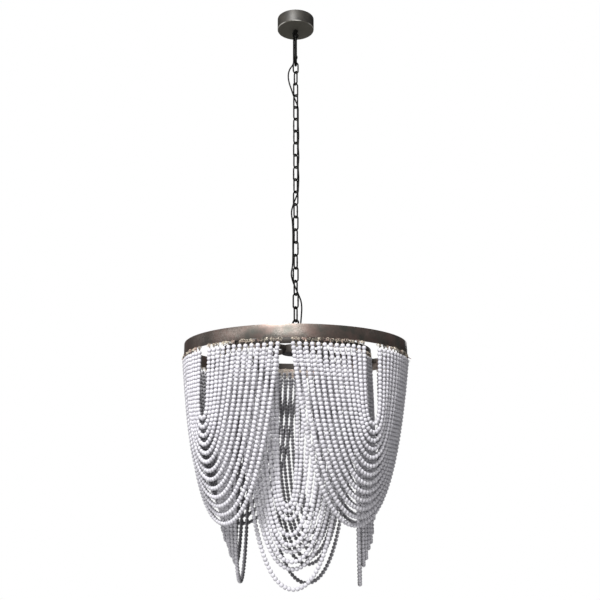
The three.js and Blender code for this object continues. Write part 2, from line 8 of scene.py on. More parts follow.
import logging
import math
import random
from collections.abc import Iterable, Iterator, Sequence
from contextlib import contextmanager
from dataclasses import dataclass, field
from enum import Enum

import bpy
import numpy as np
from mathutils import Matrix, Vector


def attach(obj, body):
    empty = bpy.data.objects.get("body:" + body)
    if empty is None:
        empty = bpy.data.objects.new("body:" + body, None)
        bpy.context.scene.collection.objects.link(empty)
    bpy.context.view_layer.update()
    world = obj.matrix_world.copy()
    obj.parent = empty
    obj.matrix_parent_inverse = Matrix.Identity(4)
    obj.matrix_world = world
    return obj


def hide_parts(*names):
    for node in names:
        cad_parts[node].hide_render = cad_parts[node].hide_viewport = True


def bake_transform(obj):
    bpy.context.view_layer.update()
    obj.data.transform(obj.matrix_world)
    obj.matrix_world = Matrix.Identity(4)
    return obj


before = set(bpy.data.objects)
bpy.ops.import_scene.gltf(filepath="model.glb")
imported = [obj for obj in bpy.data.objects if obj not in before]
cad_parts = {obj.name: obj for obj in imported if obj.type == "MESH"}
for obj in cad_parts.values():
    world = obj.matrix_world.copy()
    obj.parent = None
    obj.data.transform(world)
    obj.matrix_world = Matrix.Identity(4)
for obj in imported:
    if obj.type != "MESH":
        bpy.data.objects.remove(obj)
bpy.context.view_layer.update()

LOG = logging.getLogger("chandelier")
MM = 0.001
GAP = 0.3  # The clearance that the CAD leaves between neighbouring pieces
FULL_TURN = 6.28

Point = tuple[float, float, float]
Row = tuple[str, float, float, float, float, float]
Outline = Sequence[tuple[float, float]]
Piece = bpy.types.Object
Socket = bpy.types.NodeSocket


class Body(Enum):
    """The moving bodies that pieces ride on."""

    CANOPY = "canopy"
    HOOK = "snap_hook"
    GATE = "hook_gate"
    LAMP = "lamp"


class Slot(Enum):
    """The record's material slots, which the finishes name."""

    DARK_BRONZE = "dark_bronze"
    AGED_BRONZE = "aged_bronze"
    ZINC = "zinc_steel"
    PLASTIC = "black_plastic"
    CORD = "black_cord"
    BEADS = "whitewashed_wood"


def compass(azimuth: float) -> tuple[np.ndarray, np.ndarray]:
    """Finds the directions outwards and along a ring at an azimuth, in degrees."""
    a = math.radians(azimuth)
    return np.array([math.sin(a), -math.cos(a), 0]), np.array([math.cos(a), math.sin(a), 0])


def shifted(outline: Outline, radius: float, height: float) -> list[tuple[float, float]]:
    """Moves an outline by a radius and a height, in millimetres."""
    return [(radius + r, height + z) for r, z in outline]


class Workshop:
    """The shaping tools that every sub-assembly shares."""

    @staticmethod
    def clear() -> None:
        """Leaves edit mode and deselects everything."""
        if bpy.context.object and bpy.context.object.mode != "OBJECT":
            bpy.ops.object.mode_set(mode="OBJECT")
        bpy.ops.object.select_all(action="DESELECT")

    @staticmethod
    def pick(*pieces: Piece) -> None:
        """Selects these pieces alone and makes the first one active.

        Args:
            pieces: The pieces to select.
        """
        Workshop.clear()
        for piece in pieces:
            piece.select_set(True)
        bpy.context.view_layer.objects.active = pieces[0]

    @staticmethod
    def add(name: str, data: bpy.types.ID) -> Piece:
        """Adds an object to the scene and picks it.

        Args:
            name: The new object's name.
            data: Its mesh, curve, lamp or camera.

        Returns:
            The object.
        """
        piece = bpy.data.objects.new(name, data)
        bpy.context.scene.collection.objects.link(piece)
        Workshop.pick(piece)
        return piece

    @staticmethod
    @contextmanager
    def editing(piece: Piece) -> Iterator[None]:
        """Opens a piece in edit mode, all selected, and closes it again.

        Args:
            piece: The mesh object.

        Yields:
            Nothing, while the piece is open.
        """
        Workshop.pick(piece)
        bpy.ops.object.mode_set(mode="EDIT")
        bpy.ops.mesh.select_all(action="SELECT")
        yield
        bpy.ops.object.mode_set(mode="OBJECT")

    @staticmethod
    def mend(threshold: float) -> None:
        """Merges the doubles of the piece in edit mode and turns its faces outwards.

        Args:
            threshold: The distance of doubles, in metres.
        """
        bpy.ops.mesh.select_all(action="SELECT")
        bpy.ops.mesh.remove_doubles(threshold=threshold)
        bpy.ops.mesh.normals_make_consistent(inside=False)

    @staticmethod
    def soften(piece: Piece, degrees: float = 35) -> Piece:
        """Shades a piece smooth except across sharp edges.

        Args:
            piece: The mesh object.
            degrees: The angle from which an edge stays sharp.

        Returns:
            The same object.
        """
        Workshop.pick(piece)
        bpy.ops.object.shade_smooth_by_angle(angle=math.radians(degrees))
        return piece

    @staticmethod
    def turned(name: str, outline: Outline, steps: int, centre: tuple[float, float] = (0, 0)) -> Piece:
        """Spins an outline of radius and height corners round an upright axis.

        Args:
            name: The new object's name.
            outline: Corners in millimetres. They start and end on the axis, or the outline closes.
            steps: How many steps the turn takes.
            centre: Where the axis stands, in millimetres.

        Returns:
            A closed mesh object.
        """
        cx, cy = centre
        edges = [(i, i + 1) for i in range(len(outline) - 1)]
        if outline[0][0] or outline[-1][0]:
            edges.append((len(outline) - 1, 0))
        mesh = bpy.data.meshes.new(name)
        mesh.from_pydata([((cx + r) * MM, cy * MM, z * MM) for r, z in outline], edges, [])
        piece = Workshop.add(name, mesh)
        with Workshop.editing(piece):
            middle = (cx * MM, cy * MM, 0)
            bpy.ops.mesh.spin(steps=steps, angle=2 * math.pi, center=middle, axis=(0, 0, 1))
            Workshop.mend(1e-6)
        return Workshop.soften(piece)

    @staticmethod
    def swept(
        name: str, lines: Sequence[Sequence[Point]], radius: float, resolution: int = 0,
        closed: bool = False, swell: Sequence[float] | None = None,
    ) -> Piece:
        """Runs a section along lines of points. The surface of a single line is mended.

        Args:
            name: The new object's name.
            lines: The centre lines, in millimetres.
            radius: The section's radius, in millimetres.
            resolution: The section's roundness: it gets four sides and two more for each step.
            closed: Whether the lines join up.
            swell: A factor on the radius at each point, or None.

        Returns:
            A mesh object.
        """
        data = bpy.data.curves.new(name, "CURVE")
        data.dimensions = "3D"
        data.bevel_depth = radius * MM
        data.bevel_resolution = resolution
        data.use_fill_caps = not closed
        for line in lines:
            spline = data.splines.new("POLY")
            spline.points.add(len(line) - 1)
            spline.use_cyclic_u = closed
            for i, (x, y, z) in enumerate(line):
                spline.points[i].co = (x * MM, y * MM, z * MM, 1)
                spline.points[i].radius = swell[i] if swell else 1
        Workshop.add(name, data)
        bpy.ops.object.convert(target="MESH")
        piece = bpy.context.object
        if len(lines) == 1:
            with Workshop.editing(piece):
                Workshop.mend(1e-7)
        return Workshop.soften(piece, 50)

    @staticmethod
    def rounded_block(name: str, size: Point, centre: Point, edge: float, azimuth: float) -> Piece:
        """Makes a block with rounded edges, turned round the Z axis through the origin.

        Args:
            name: The new object's name.
            size: Its lengths, in millimetres.
            centre: Its middle before the turn, in millimetres.
            edge: The radius of its edges, in millimetres.
            azimuth: The azimuth that its -Y side turns to.

        Returns:
            A mesh object.
        """
        Workshop.clear()
        bpy.ops.mesh.primitive_cube_add(size=1, location=(0, 0, 0))
        piece = bpy.context.object
        piece.name = name
        piece.data.transform(Matrix.Diagonal((size[0] * MM, size[1] * MM, size[2] * MM, 1)))
        with Workshop.editing(piece):
            bpy.ops.mesh.bevel(offset=edge * MM, segments=2, affect="EDGES")
        place = Matrix.Rotation(math.radians(azimuth), 4, "Z") @ Matrix.Translation(Vector(centre) * MM)
        piece.data.transform(place)
        return Workshop.soften(piece)

    @staticmethod
    def joined(name: str, pieces: Sequence[Piece]) -> Piece:
        """Joins pieces into one object.

        Args:
            name: The name of the result.
            pieces: The mesh objects to join.

        Returns:
            The joined object.
        """
        Workshop.pick(*pieces)
        bpy.ops.object.join()
        pieces[0].name = pieces[0].data.name = name
        return pieces[0]


class Graph:
    """The nodes of a material or of the surroundings, with short ways to add to them."""

    def __init__(self, tree: bpy.types.NodeTree) -> None:
        """Takes hold of the tree that the nodes go into."""
        self.nodes, self.links = tree.nodes, tree.links

    def fill(self, node: bpy.types.Node, values: dict[str | int, object]) -> bpy.types.Node:
        """Sets a node's inputs.

        Args:
            node: The node.
            values: For each input, its constant or the socket that feeds it.

        Returns:
            The same node.
        """
        for key, value in values.items():
            if isinstance(value, Socket):
                self.links.new(value, node.inputs[key])
            else:
                node.inputs[key].default_value = value
        return node

    def add(self, kind: str, values: dict[str | int, object], **settings: str) -> bpy.types.Node:
        """Adds a node.

        Args:
            kind: Its type, without the words that all types start with.
            values: For each input, its constant or the socket that feeds it.
            settings: The node's own settings.

        Returns:
            The new node.
        """
        node = self.nodes.new(f"ShaderNode{kind}")
        for key, value in settings.items():
            setattr(node, key, value)
        return self.fill(node, values)

    def place(self) -> Socket:
        """Returns the place on the object."""
        return self.add("TexCoord", {}).outputs["Object"]

    def noise(self, scale: float, detail: float) -> Socket:
        """Adds a noise over the object, of a scale per metre and a number of finer layers."""
        values = {"Vector": self.place(), "Scale": scale, "Detail": detail, "Roughness": 0.6}
        return self.add("TexNoise", values).outputs["Fac"]

    def ranged(self, value: Socket, start: float, end: float, low: float = 0, high: float = 1) -> Socket:
        """Turns values from start to end into values from low to high, and holds them there."""
        values = {"Value": value, "From Min": start, "From Max": end, "To Min": low, "To Max": high}
        return self.add("MapRange", values).outputs["Result"]

    def product(self, first: Socket, second: Socket) -> Socket:
        """Multiplies two values."""
        return self.add("Math", {0: first, 1: second}, operation="MULTIPLY").outputs[0]

    def mixed(self, share: Socket, colour: Socket, other: Point) -> Socket:
        """Mixes a share of another colour, linear, into a colour."""
        return self.add("Mix", {0: share, 6: colour, 7: (*other, 1)}, data_type="RGBA").outputs[2]


@dataclass(frozen=True)
class Finish:
    """A surface finish that mottles between two colours, with its own grain and wear.

    Attributes:
        slot: The record's slot that it belongs to, or None on the floor. It is not used.
        colour: The main colour, linear.
        second: The colour of the mottling, linear.
        rough: The roughness at its smoothest and at its roughest.
        mottle: The mottling's scale, per metre.
        grain: The grain's scale, per metre.
        bump: How deep the grain is, in millimetres.
        shine: How strongly a surface that isn't metal reflects.
        edges: The noise where the second colour ends and where the main one starts.
    """

    name: str
    slot: Slot | None
    colour: Point
    second: Point
    metallic: float
    rough: tuple[float, float]
    mottle: float = 60
    grain: float = 900
    bump: float = 0.05
    shine: float = 0.5
    edges: tuple[float, float] = (0.38, 0.66)

    def build(self) -> bpy.types.Material:
        """Builds the material.

        Returns:
            A material with procedural nodes.
        """
        material = bpy.data.materials.new(self.name)
        material.use_nodes = True
        graph = Graph(material.node_tree)
        ramp = graph.add("ValToRGB", {"Fac": graph.noise(self.mottle, 4)})
        for stop, edge, colour in zip(ramp.color_ramp.elements, self.edges, (self.second, self.colour)):
            stop.position, stop.color = edge, (*colour, 1)
        grain = graph.noise(self.grain, 6)
        bump = graph.add("Bump", {"Strength": 0.5, "Distance": self.bump * MM, "Height": grain})
        graph.fill(graph.nodes["Principled BSDF"], {
            "Metallic": self.metallic,
            "Specular IOR Level": self.shine,
            "Base Color": self.tint(graph, ramp.outputs["Color"]),
            "Roughness": graph.ranged(grain, 0, 1, *self.rough),
            "Normal": bump.outputs["Normal"],
        })
        return material

    def tint(self, graph: Graph, colour: Socket) -> Socket:
        """Changes the mottled colour before the shader gets it. The plain finish leaves it."""
        return colour


@dataclass(frozen=True)
class CupFinish(Finish):
    """The ceiling cup's finish: a floor painted paler than the side as painted light on the underside, and a
    painted highlight along the lower edge, in stretches.

    Attributes:
        floor_top: The height where the floor's paler colour, painted light, ends.
        rim_radius: Where the painted edge highlight starts and is full, from the axis.
        rim_rise: How far above the floor's colour the painted highlight ends and is full.
        stretches: The scale of the painted highlight's stretches, per metre, and the noise where they start
            and are full.
    """

    # Painted light: the floor's colour is paler than the side, standing in for the light that falls on the
    # underside.
    floor: Point = (0.115, 0.108, 0.088)
    floor_top: float = -35
    floor_fade: float = 1.4
    # Painted highlight: the pale colour of the lower edge, in stretches, stands in for the lamps' glint on
    # it.
    rim: Point = (0.42, 0.41, 0.38)
    rim_radius: tuple[float, float] = (52.6, 53.1)
    rim_rise: tuple[float, float] = (0.9, 0.2)
    stretches: tuple[float, float, float] = (14, 0.42, 0.5)

    def tint(self, graph: Graph, colour: Socket) -> Socket:
        """Mixes in the floor's paler colour, painted light, low down and the painted edge highlight above
        it.

        Args:
            graph: The material's nodes.
            colour: The mottled colour.

        Returns:
            The colour for the shader.
        """
        height = graph.add("SeparateXYZ", {"Vector": graph.place()}).outputs["Z"]
        top = self.floor_top
        low = graph.ranged(height, (top - self.floor_fade) * MM, top * MM, 1, 0)
        # Painted light: the underside is coloured paler than the side.
        colour = graph.mixed(low, colour, self.floor)
        flat = graph.add("VectorMath", {0: graph.place(), 1: (1, 1, 0)}, operation="MULTIPLY")
        away = graph.add("VectorMath", {0: flat.outputs[0]}, operation="LENGTH").outputs["Value"]
        outer = graph.ranged(away, *(r * MM for r in self.rim_radius))
        level = graph.ranged(height, *((top + rise) * MM for rise in self.rim_rise))
        # Painted highlight along the lower edge, broken into stretches by noise.
        scale, start, end = self.stretches
        painted_highlight = graph.ranged(graph.noise(scale, 1), start, end)
        return graph.mixed(graph.product(graph.product(outer, level), painted_highlight), colour, self.rim)


@dataclass(frozen=True)
class WornFinish(Finish):
    """A finish whose large patches are rubbed paler and speckled, as on the big ring.

    Attributes:
        patch: The patches' scale, per metre.
        speckle: The speckles' scale, per metre.
        wear: The noise where patches and speckles start and are full.
    """

    worn: Point = (0.3, 0.28, 0.26)
    patch: float = 9
    speckle: float = 420
    wear: tuple[float, float] = (0.42, 0.68)

    def tint(self, graph: Graph, colour: Socket) -> Socket:
        """Mixes in the rubbed and speckled patches."""
        shares = [graph.ranged(graph.noise(scale, 3), *self.wear) for scale in (self.patch, self.speckle)]
        return graph.mixed(graph.product(*shares), colour, self.worn)


@dataclass(frozen=True)
class BeadFinishWithPaintedShade(Finish):
    """The whitewashed beads' finish: it is multiplied by the value that the mesh stores, each bead's random
    lightness times a painted shade on its inward side.
    """

    def tint(self, graph: Graph, colour: Socket) -> Socket:
        """Darkens the beads by their stored value, random lightness and painted shade."""
        tone_and_painted_shade = graph.add("Attribute", {}, attribute_name="tone_and_painted_shade").outputs["Fac"]
        return graph.add("VectorMath", {0: colour, "Scale": tone_and_painted_shade}, operation="SCALE").outputs[0]


@dataclass
class Palette:
    """All the finishes of the lamp, and the materials made so far."""

    cup: Finish = CupFinish(
        "cup_paint_and_painted_light", Slot.DARK_BRONZE, (0.027, 0.0255, 0.023), (0.045, 0.041, 0.035), 0.25, (0.42, 0.62), 45)
    dark: Finish = Finish(
        "dark_bronze_paint", Slot.DARK_BRONZE, (0.030, 0.027, 0.024), (0.050, 0.041, 0.034), 0.3, (0.4, 0.6))
    ring: Finish = WornFinish(
        "ring_patina", Slot.AGED_BRONZE, (0.15, 0.145, 0.128), (0.28, 0.20, 0.175), 0.85, (0.29, 0.48),
        24, 600, 0.2, worn=(0.60, 0.55, 0.50))
    chain: Finish = Finish(
        "chain_patina", Slot.AGED_BRONZE, (0.005, 0.0048, 0.0045), (0.013, 0.0122, 0.011), 0.2, (0.5, 0.7),
        120, shine=0.08)
    hook: Finish = Finish(
        "hook_steel", Slot.ZINC, (0.003, 0.003, 0.003), (0.007, 0.0068, 0.0066), 0.1, (0.5, 0.7),
        90, shine=0.07)
    zinc: Finish = Finish(
        "zinc_plate", Slot.ZINC, (0.36, 0.36, 0.35), (0.28, 0.28, 0.27), 0.9, (0.32, 0.5), 80)
    plastic: Finish = Finish(
        "black_moulding", Slot.PLASTIC, (0.014, 0.014, 0.014), (0.02, 0.02, 0.019), 0, (0.45, 0.6))
    brass: Finish = Finish("contact_brass", Slot.ZINC, (0.62, 0.42, 0.17), (0.5, 0.33, 0.13), 1, (0.3, 0.45))
    cord: Finish = Finish(
        "cord_sheath", Slot.CORD, (0.003, 0.003, 0.003), (0.006, 0.0058, 0.0056), 0, (0.55, 0.7),
        60, shine=0.07)
    wire: Finish = WornFinish(
        "tie_wire", Slot.AGED_BRONZE, (0.82, 0.74, 0.60), (0.035, 0.028, 0.022), 0.1, (0.35, 0.55),
        60, 900, worn=(0.42, 0.20, 0.19), patch=30, speckle=70)
    beads: Finish = BeadFinishWithPaintedShade(
        "whitewashed_bead_with_painted_shade", Slot.BEADS, (0.70, 0.69, 0.722), (0.59, 0.577, 0.62), 0, (0.55, 0.85),
        170, 1300, 0.12, shine=0.15)
    made: dict[str, bpy.types.Material] = field(default_factory=dict)

    def get(self, finish: Finish) -> bpy.types.Material:
        """Finds a finish's material and builds it on the first call.

        Args:
            finish: The finish.

        Returns:
            Its material.
        """
        if finish.name not in self.made:
            self.made[finish.name] = finish.build()
        return self.made[finish.name]


@dataclass
class Studio:
    """The camera, the lamps, the white surroundings and the floor, in metres.

    Attributes:
        distance: How far the camera stands in front of the lamp's axis.
        pitch: How far the camera looks up, in degrees.
        shift: The photograph's framing, as shares of its width.
        mirrored: The strength of the surroundings in reflections, as in a room that is dim.
        lamps: Each soft lamp's name, place, width and power in watts.
    """

    distance: float = 2.309
    height: float = -1.4303
    pitch: float = 14.337
    lens: float = 51.83
    sensor: float = 36
    shift: tuple[float, float] = (0.0072, -0.0152)
    ambient: float = 0.235
    mirrored: float = 0.06
    floor_height: float = -2.8
    floor_size: float = 5
    aim: Point = (0, 0, -1.15)
    lamps: tuple[tuple[str, Point, float, float], ...] = (
        ("key", (-0.85, -2.5, 1.5), 0.9, 196), ("front", (-0.45, -3.2, -0.45), 0.7, 26),
        ("left", (-2.7, -1.7, -0.3), 1.4, 10), ("back", (0.8, 3.2, 0.4), 1.6, 32))

    def build(self) -> None:
        """Builds the camera, the surroundings, the lamps and the floor."""
        self._camera()
        self._surroundings()
        for name, place, size, power in self.lamps:
            data = bpy.data.lights.new(name, "AREA")
            data.size, data.energy = size, power
            lamp = Workshop.add(name, data)
            lamp.location = place
            lamp.rotation_euler = (Vector(self.aim) - Vector(place)).to_track_quat("-Z", "Y").to_euler()
        self._floor()
        bpy.context.scene.view_settings.view_transform = "Standard"

    def _camera(self) -> None:
        """Adds the camera at the photograph's place."""
        data = bpy.data.cameras.new("camera")
        data.lens, data.sensor_width = self.lens, self.sensor
        data.shift_x, data.shift_y = self.shift
        camera = Workshop.add("camera", data)
        camera.location = (0, -self.distance, self.height)
        camera.rotation_euler = (math.radians(90 + self.pitch), 0, 0)
        bpy.context.scene.camera = camera

    def _surroundings(self) -> None:
        """Makes the surroundings white to look at and dim as light."""
        world = bpy.data.worlds.new("studio")
        bpy.context.scene.world = world
        world.use_nodes = True
        graph = Graph(world.node_tree)
        graph.nodes.clear()
        ray = graph.add("LightPath", {}).outputs
        level = graph.ranged(ray["Is Glossy Ray"], 0, 1, self.ambient, self.mirrored)
        dim = graph.add("Background", {"Color": (1, 1, 1, 1), "Strength": level})
        white = graph.add("Background", {"Color": (1, 1, 1, 1)})
        mix = graph.add("MixShader", {0: ray["Is Camera Ray"], 1: dim.outputs[0], 2: white.outputs[0]})
        graph.add("OutputWorld", {"Surface": mix.outputs[0]})

    def _floor(self) -> None:
        """Lays the pale floor."""
        Workshop.clear()
        bpy.ops.mesh.primitive_plane_add(size=self.floor_size, location=(0, 0, self.floor_height))
        floor = bpy.context.object
        floor.name = "floor"
        finish = Finish(
            "floor_paint", None, (0.72, 0.72, 0.72), (0.70, 0.70, 0.70), 0, (0.7, 0.9), 3, 60, 0.02)
        floor.data.materials.append(finish.build())


@dataclass
class Assembly:
    """A group of pieces that take their finishes from one palette."""

    palette: Palette

    def dress(self, piece: Piece, finish: Finish, body: str, *nodes: str) -> None:
        """Gives a piece its material, its body and the CAD nodes that it stands for.

        Args:
            piece: The finished mesh object.
            finish: Its finish.
            body: The name of the body that it rides on.
            nodes: The CAD nodes that it replaces.
        """
        piece.data.materials.clear()
        piece.data.materials.append(self.palette.get(finish))
        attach(piece, body)
        if nodes:
            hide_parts(*nodes)
        LOG.info("%s: %d faces on %s", piece.name, len(piece.data.polygons), body)

    def keep(self, finish: Finish, *nodes: str) -> None:
        """Gives CAD nodes that stay in view a finer material.

        Args:
            finish: Their finish.
            nodes: The nodes' names.
        """
        for name in nodes:
            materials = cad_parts[name].data.materials
            materials.clear()
            materials.append(self.palette.get(finish))
            LOG.info("%s: kept, %s", name, finish.name)

    @staticmethod
    def eye(name: str, opening: float, wire: float, centre: float, turn: float) -> Piece:
        """Makes the ring of a forged eye.

        Args:
            name: The new object's name.
            opening: The ring's opening across.
            wire: The ring's wire.
            centre: The height of the ring's middle.
            turn: The azimuth of the ring's plane from the X axis, in degrees.

        Returns:
            A mesh object.
        """
        radius = (opening + wire) / 2
        turn = math.radians(turn)
        points = [
            (radius * math.cos(t) * math.cos(turn), radius * math.cos(t) * math.sin(turn),
             centre + radius * math.sin(t))
            for t in (2 * math.pi * i / 48 for i in range(48))]
        return Workshop.swept(name, [points], wire / 2, 4, True)


@dataclass
class Canopy(Assembly):
    """The ceiling cup, its eye and the grip that the cord leaves by.

    Attributes:
        collar: The outline of the eye's hexagonal collar and shank, from their seat.
        grip: Where the cord grip's axis stands.
        rib: The radius of the grip's first rib, the step from rib to rib and the narrowing.
    """

    radius: float = 54
    depth: float = 37
    wall: float = 1.5
    edge: float = 2.5
    stud_radius: float = 5.3
    collar: Outline = (
        (0, 0), (6.2, 0), (7, -0.8), (7, -5.2), (6.2, -6), (4.6, -6.4), (4, -7.4), (4, -10.2),
        (3.2, -11.6), (0, -12))
    grip: tuple[float, float] = (-5, 15)
    grip_bore: float = 2.4
    grip_bottom: float = -45
    rib: tuple[float, float, float] = (5.4, 1.8, 0.4)

    def build(self) -> None:
        """Builds and dresses the pieces, and dresses the ones that the cup hides."""
        self._cup()
        seat = -self.depth - GAP
        collar = Workshop.turned("collar", shifted(self.collar, 0, seat), 32)
        eye = Workshop.joined("ceiling_eye", [collar, self.eye("ring", 10, 4, -54.8, 0)])
        self.dress(eye, self.palette.chain, Body.CANOPY.value, "canopy_eye")
        self._grip(seat)
        self.keep(self.palette.zinc, "ceiling_bracket", "bracket_screw_1", "bracket_screw_2")
        self.keep(self.palette.plastic, "terminal_block")

    def _cup(self) -> None:
        """Spins the cup, with its rounded lower edge and a rolled rim."""
        r, d, w, e = self.radius, self.depth, self.wall, self.edge
        corner = [
            (r - e + e * math.sin(t), -d + e - e * math.cos(t))
            for t in (math.radians(15 * i) for i in range(7))]
        inner = [
            (r - w - (e - w) * (1 - math.cos(t)), -d + e - (e - w) * math.sin(t))
            for t in (math.radians(22.5 * i) for i in range(5))]
        rim = [(r, -0.8), (r - 0.25, -0.2), (r - 0.75, 0), (r - w + 0.2, -0.2), (r - w, -0.8)]
        outline = [(self.stud_radius, -d), *corner, *rim, *inner, (self.stud_radius, -d + w)]
        cup = Workshop.turned("cup", outline, 128)
        self.dress(cup, self.palette.cup, Body.CANOPY.value, "canopy_cup")

    def _grip(self, seat: float) -> None:
        """Spins the cord grip, with its ribbed tail.

        Args:
            seat: The height of the tail's upper end.
        """
        top = -self.depth + self.wall + GAP
        first, step, narrowing = self.rib
        ribs = []
        for i in range(4):
            profile = ((0, 0), (0, -0.9), (-0.5, -1.1), (-0.5, -1.6))
            ribs += shifted(profile, first - narrowing * i, seat - 0.6 - step * i)
        head = shifted(((7.2, 2), (7.5, 1.7), (7.5, 0), (5.5, 0)), 0, top)
        outline = [(self.grip_bore, top + 2), *head, (5.5, seat), *ribs,
                   (3.6, self.grip_bottom), (self.grip_bore, self.grip_bottom)]
        grip = Workshop.turned("cord_grip_piece", outline, 32, self.grip)
        self.dress(grip, self.palette.plastic, Body.CANOPY.value, "cord_grip")


@dataclass
class SnapHook(Assembly):
    """The snap hook between the ceiling eye and the chain, seen edge on from the front.

    Attributes:
        fittings: Each disc on the pin's axis: its name, places across, thickness and radius.
        gate_end: How far the gate ends before the hook's nose.
        gate_shape: Shares of the gate's length, and a factor on its thickness there.
        knuckle: The thickness and the radius of the gate's knuckle.
    """

    wire: float = 8
    narrow_radius: float = 10
    wide_radius: float = 16
    narrow_height: float = -65.5
    wide_height: float = -133.5
    fittings: tuple[tuple[str, tuple[float, ...], float, float], ...] = (
        ("cheek", (-4.2, 4.2), 1.8, 5), ("pin", (0,), 11.4, 1.5), ("head", (-5.4, 5.4), 0.8, 2.6))
    gate_wire: float = 6
    gate_end: float = 0.9
    gate_shape: Outline = ((0.035, 1), (0.06, 1), (0.5, 1), (0.955, 1), (0.98, 0.92), (1, 0.7))
    knuckle: tuple[float, float] = (5.8, 4.7)

    @property
    def lean(self) -> float:
        """The lean of the hook's long sides, in radians."""
        return math.asin((self.wide_radius - self.narrow_radius) / (self.narrow_height - self.wide_height))

    @staticmethod
    def _on(radius: float, height: float, turn: float) -> Point:
        """Finds a point of a circle in the hook's plane, at an angle from +Y towards +Z, in radians."""
        return (0, radius * math.cos(turn), height + radius * math.sin(turn))

    def build(self) -> None:
        """Builds the rod with its cheeks and pin, and the gate."""
        lean = self.lean
        narrow, wide = (self.narrow_radius, self.narrow_height), (self.wide_radius, self.wide_height)
        route = [self._on(*wide, t) for t in np.linspace(math.pi + 1.6 * lean, 2 * math.pi + lean, 33)]
        route += [self._on(*narrow, t) for t in np.linspace(lean, math.pi + lean, 29)]
        pivot = Vector(self._on(*wide, math.pi + lean))
        discs = [
            self._disc(name, across, thickness, radius, pivot)
            for name, places, thickness, radius in self.fittings for across in places]
        hook = Workshop.joined("snap_hook_piece", [Workshop.swept("rod", [route], self.wire / 2, 5), *discs])
        self.dress(hook, self.palette.hook, Body.HOOK.value, "snap_hook_body")

        way = Vector(self._on(*narrow, math.pi + lean)) - pivot
        length = way.length - self.gate_end
        points = [tuple(pivot + way.normalized() * length * share) for share, _ in self.gate_shape]
        swell = [factor for _, factor in self.gate_shape]
        bar = Workshop.swept("bar", [points], self.gate_wire / 2, 5, swell=swell)
        gate = Workshop.joined("gate_piece", [bar, self._disc("knuckle", 0, *self.knuckle, pivot)])
        self.dress(gate, self.palette.hook, Body.GATE.value, "hook_gate")

    @staticmethod
    def _disc(name: str, across: float, thickness: float, radius: float, pivot: Vector) -> Piece:
        """Turns a disc with eased edges on the pin's axis.

        Args:
            name: The new object's name.
            across: The place of its middle along X.
            thickness: Its thickness.
            radius: Its radius.
            pivot: The pin's place.

        Returns:
            A mesh object.
        """
        half, ease = thickness / 2, min(0.3, radius / 4, thickness / 4)
        outline = [(0, -half), (radius - ease, -half), (radius, -half + ease), (radius, half - ease),
                   (radius - ease, half), (0, half)]
        disc = Workshop.turned(name, outline, 28)
        place = Matrix.Translation((pivot + Vector((across, 0, 0))) * MM)
        disc.data.transform(place @ Matrix.Rotation(math.pi / 2, 4, "Y"))
        return disc


@dataclass
class Chain(Assembly):
    """The connecting link and the twenty links of the chain.

    Attributes:
        twist: How far the first links are turned from the crosswise order, in degrees.
        twist_more: How much further each link after them is turned.
        weld: The factor on the wire at a link's weld.
    """

    count: int = 21
    top: float = -145
    first_pitch: float = 30
    pitch: float = 37.5
    wire: float = 4.4
    width: float = 19.8
    twist: tuple[float, ...] = (25, 30, 42, 45)
    twist_more: float = 0.9
    weld: float = 1.13

    def turn(self, index: int) -> float:
        """Finds the azimuth of a link's plane from the X axis, in degrees. Links count from 1."""
        base = self.twist[min(index, len(self.twist)) - 1]
        return 90 * (index + 1) + base + max(0, index - len(self.twist)) * self.twist_more

    def span(self, index: int) -> tuple[float, float]:
        """Finds the heights of a link's opening.

        Args:
            index: The link's number, from 1.

        Returns:
            The top and the bottom of its opening.
        """
        drop = 0 if index == 1 else self.first_pitch + (index - 2) * self.pitch
        length = (self.first_pitch if index == 1 else self.pitch) + GAP
        return self.top - drop, self.top - drop - length

    def middles(self) -> list[float]:
        """Finds the height of each link's middle, from the first link down."""
        return [sum(self.span(index)) / 2 for index in range(1, self.count + 1)]

    def build(self) -> None:
        """Builds each link, with the swelling of its weld on one side."""
        radius = (self.width - self.wire) / 2
        inner = radius - self.wire / 2
        for index in range(1, self.count + 1):
            high, low = self.span(index)
            straight = (high - low) / 2 - inner
            middle = (high + low) / 2
            points: list[tuple[float, float]] = []
            swell: list[float] = []
            for side in (1, -1):
                for t in (math.pi * k / 16 for k in range(17)):
                    points.append((side * radius * math.cos(t), side * (straight + radius * math.sin(t))))
                    swell.append(1)
                for share in (0.35, 0.1, 0.05, 0, -0.05, -0.1, -0.35):
                    points.append((-side * radius, side * straight * 2 * share))
                    swell.append(self.weld if side == 1 and abs(share) <= 0.05 else 1)
            a = math.radians(self.turn(index))
            placed = [(x * math.cos(a), x * math.sin(a), middle + z) for x, z in points]
            link = Workshop.swept(f"link_{index:02d}", [placed], self.wire / 2, 3, True, swell)
            name = f"chain_link_{index:02d}"
            self.dress(link, self.palette.chain, name, name)


